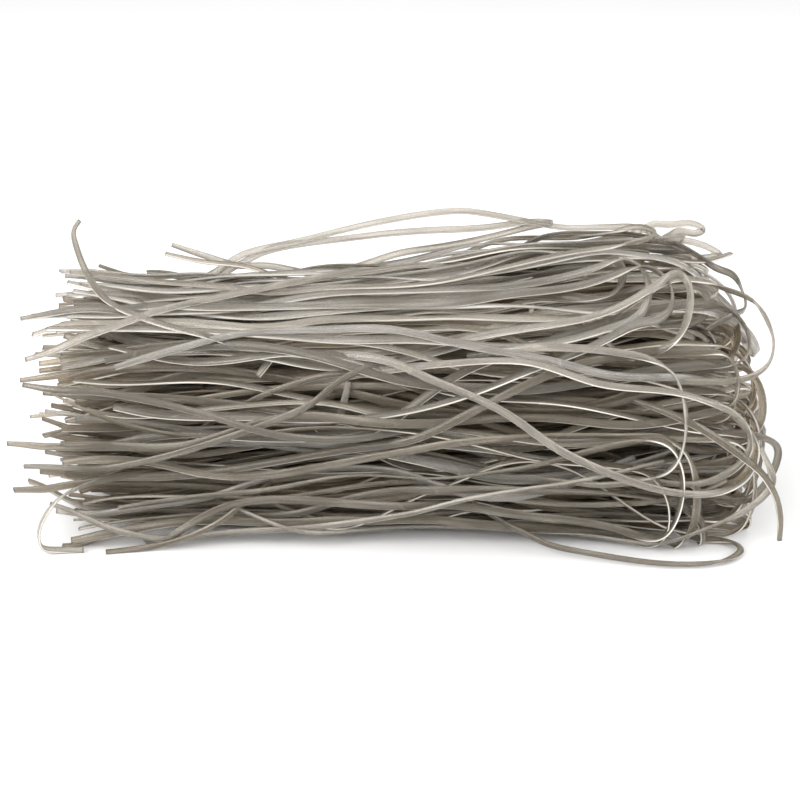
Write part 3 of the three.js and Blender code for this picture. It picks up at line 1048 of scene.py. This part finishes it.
def scaled(tree, value, factor, offset=0.0, clamp=False):
    """The value times a factor plus an offset."""
    node = tree.nodes.new("ShaderNodeMath")
    node.operation = "MULTIPLY_ADD"
    node.use_clamp = clamp
    for part, socket in zip((value, factor, offset), node.inputs):
        feed(tree, part, socket)
    return node.outputs[0]


def mixed(tree, share, first, second, blend_type="MIX"):
    """Two colours mixed by a share of the second."""
    node = tree.nodes.new("ShaderNodeMix")
    node.data_type = "RGBA"
    node.blend_type = blend_type
    feed(tree, share, node.inputs[MIX_SHARE])
    feed(tree, first, node.inputs[MIX_FIRST])
    feed(tree, second, node.inputs[MIX_SECOND])
    return node.outputs[MIX_RESULT]


def ramp(tree, value, span, tints):
    """Colours from one tint to the other over a span of the value."""
    node = tree.nodes.new("ShaderNodeValToRGB")
    for element, place, tint in zip(node.color_ramp.elements, span, tints):
        element.position = place
        element.color = tint
    tree.links.new(value, node.inputs["Fac"])
    return node.outputs["Color"]


def streak_pattern(tree, tone):
    """Streaks along a noodle, different for each tone."""
    place = tree.nodes.new("ShaderNodeCombineXYZ")
    tree.links.new(scaled(tree, attribute(tree, "run"), STREAKS_ALONG), place.inputs[0])
    tree.links.new(scaled(tree, attribute(tree, "edge"), STREAKS_ACROSS), place.inputs[1])
    tree.links.new(scaled(tree, tone, TONE_PHASE), place.inputs[2])
    streaks = tree.nodes.new("ShaderNodeTexNoise")
    streaks.inputs["Scale"].default_value = STREAK_SCALE
    streaks.inputs["Detail"].default_value = STREAK_DETAIL
    tree.links.new(place.outputs[0], streaks.inputs["Vector"])
    return streaks.outputs["Fac"]


def cast_tint(tree, tone):
    """The warm or cool lean of a noodle, which follows from its tone."""
    chance = tree.nodes.new("ShaderNodeTexNoise")
    chance.noise_dimensions = "1D"
    chance.inputs["Scale"].default_value = CAST_SCALE
    chance.inputs["Detail"].default_value = 0.0
    tree.links.new(tone, chance.inputs["W"])
    return ramp(tree, chance.outputs["Fac"], CAST_SPAN, CASTS)


def noodle_material(name, tints):
    """Dried starch: grey, half clear, a little glossy, streaked along the noodle, with a painted glow on
    its lower front edges.
    """
    material = bpy.data.materials.new(name)
    material.use_nodes = True
    tree = material.node_tree
    shader = tree.nodes["Principled BSDF"]
    tone = attribute(tree, "tone")
    painted_glow = scaled(tree, attribute(tree, "painted_glow"), 1.0, clamp=True)
    streak = streak_pattern(tree, tone)
    tint_share = scaled(tree, tone, TONE_SHARE, scaled(tree, streak, STREAK_SHARE, SHADE_OFFSET))
    shade = ramp(tree, tint_share, SHADE_SPAN, tints)
    colour = mixed(tree, 1.0, shade, cast_tint(tree, tone), "MULTIPLY")
    # Painted glow: the pale tint on the edges that face down and to the front.
    colour = mixed(tree, painted_glow, colour, PAINTED_GLOW_TINT)
    colour = mixed(tree, scaled(tree, attribute(tree, "cut"), CUT_TINT_SHARE), colour, CUT_TINT)
    bump = tree.nodes.new("ShaderNodeBump")
    bump.inputs["Strength"].default_value = BUMP_STRENGTH
    bump.inputs["Distance"].default_value = BUMP_DEPTH * MM
    tree.links.new(streak, bump.inputs["Height"])
    feed(tree, colour, shader.inputs["Base Color"])
    # Less clear where the glow is painted, so that its painted tint shows.
    clearness = scaled(tree, painted_glow, EDGE_CLEARNESS - CLEARNESS, CLEARNESS)
    feed(tree, clearness, shader.inputs["Transmission Weight"])
    feed(tree, scaled(tree, streak, STREAK_ROUGHNESS, GLOSS_ROUGHNESS), shader.inputs["Roughness"])
    feed(tree, bump.outputs["Normal"], shader.inputs["Normal"])
    feed(tree, REFRACTIVE_INDEX, shader.inputs["IOR"])
    return material


# The stage, in metres and watts: the floor, the sky, the lights and the camera.
FLOOR_SIZE = 12.0
FLOOR_TINTS = (0.69, 0.69, 0.69, 1), (0.72, 0.72, 0.72, 1)
FLOOR_GRAIN = 40.0
FLOOR_ROUGHNESS = 0.9
SKY_AT_HORIZON = 0.5
SKY_OVERHEAD = 1.28
WHITE = (1.0, 1.0, 1.0, 1)
# Soft lights: place, size and power.
SOFT_LIGHTS = {
    "top_back": ((0.15, 0.55, 1.3), 1.4, 3.0),
    "front_left": ((-0.7, -0.95, 1.15), 1.1, 15.0),
    "left_side": ((-1.1, -0.45, 0.7), 0.9, 14.0),
    "right_side": ((1.1, -0.45, 0.7), 0.9, 13.0),
}
LIGHTS_AIM = (0, 0, 0.05)
LENS_MM = 70.6
SENSOR_MM = 36.0
CAMERA_PITCH = math.radians(25.0)
CAMERA_DISTANCE = 0.721
CAMERA_AIM_HEIGHT = 0.045


def floor_material():
    material = bpy.data.materials.new("floor")
    material.use_nodes = True
    tree = material.node_tree
    shader = tree.nodes["Principled BSDF"]
    grain = tree.nodes.new("ShaderNodeTexNoise")
    grain.inputs["Scale"].default_value = FLOOR_GRAIN
    feed(tree, ramp(tree, grain.outputs["Fac"], (0.0, 1.0), FLOOR_TINTS), shader.inputs["Base Color"])
    feed(tree, FLOOR_ROUGHNESS, shader.inputs["Roughness"])
    return material


def add_floor():
    bpy.ops.mesh.primitive_plane_add(size=FLOOR_SIZE, location=(0, 0, 0))
    floor = bpy.context.object
    floor.name = "floor"
    floor.data.materials.append(floor_material())


def add_sky():
    """A plain white sky, brighter overhead than at the horizon."""
    world = bpy.data.worlds.new("world")
    world.use_nodes = True
    tree = world.node_tree
    background = tree.nodes["Background"]
    place = tree.nodes.new("ShaderNodeTexCoord")
    parts = tree.nodes.new("ShaderNodeSeparateXYZ")
    tree.links.new(place.outputs["Generated"], parts.inputs[0])
    bright = tree.nodes.new("ShaderNodeMapRange")
    bright.inputs["To Min"].default_value = SKY_AT_HORIZON
    bright.inputs["To Max"].default_value = SKY_OVERHEAD
    tree.links.new(parts.outputs["Z"], bright.inputs["Value"])
    tree.links.new(bright.outputs["Result"], background.inputs["Strength"])
    background.inputs["Color"].default_value = WHITE
    bpy.context.scene.world = world


def add_soft_light(name, place, size, power):
    data = bpy.data.lights.new(name, "AREA")
    data.size = size
    data.energy = power
    light = bpy.data.objects.new(name, data)
    light.location = place
    aim = np.array(LIGHTS_AIM) - np.array(place)
    yaw = math.atan2(aim[1], aim[0]) - math.pi / 2
    light.rotation_euler = (math.atan2(math.hypot(aim[0], aim[1]), -aim[2]), 0, yaw)
    bpy.context.scene.collection.objects.link(light)


def add_camera():
    data = bpy.data.cameras.new("camera")
    data.lens = LENS_MM
    data.sensor_width = SENSOR_MM
    camera = bpy.data.objects.new("camera", data)
    back = CAMERA_DISTANCE * math.cos(CAMERA_PITCH)
    up = CAMERA_AIM_HEIGHT + CAMERA_DISTANCE * math.sin(CAMERA_PITCH)
    camera.location = (0, -back, up)
    camera.rotation_euler = (math.pi / 2 - CAMERA_PITCH, 0, 0)
    bpy.context.scene.collection.objects.link(camera)
    bpy.context.scene.camera = camera


def add_stage():
    add_floor()
    add_sky()
    for name, (place, size, power) in SOFT_LIGHTS.items():
        add_soft_light(name, place, size, power)
    add_camera()
    bpy.context.scene.view_settings.view_transform = "Standard"


def main():
    outer = noodle_material("dried_noodle", OUTER_TINTS)
    # The noodles inside get the darker copy, painted shade deep in the pile.
    inner = noodle_material("dried_noodle_inside_painted_shade", INNER_PAINTED_SHADE_TINTS)
    # The cut ends and folds get the paler copy, painted light at the ends of the bundle.
    ends = noodle_material("dried_noodle_ends_painted_light", END_PAINTED_LIGHT_TINTS)
    add_piece("noodles_inner", fill_to(INNER_LEVEL, PLAIN_RING_STEP, INNER_END_RISE), inner)
    add_piece("noodles_first_layer", fill_to(FIRST_LEVEL, RING_STEP, FIRST_END_RISE), inner)
    add_piece("noodles_broken", broken_pieces(), outer)
    add_piece("noodles_second_layer", fill_to(SECOND_LEVEL, RING_STEP, SECOND_END_RISE), outer)
    add_piece("noodles_loose", loose_noodles(), outer)
    add_piece("noodles_stray", stray_noodles(), outer)
    add_piece("noodle_cut_ends", cut_stubs(), ends)
    add_piece("noodle_folds", end_folds(), ends)
    # The core gets the darkest copy, painted shade in the gaps of the pile.
    core_piece(noodle_material("dried_noodle_core_painted_shade", CORE_PAINTED_SHADE_TINTS))
    add_stage()


main()
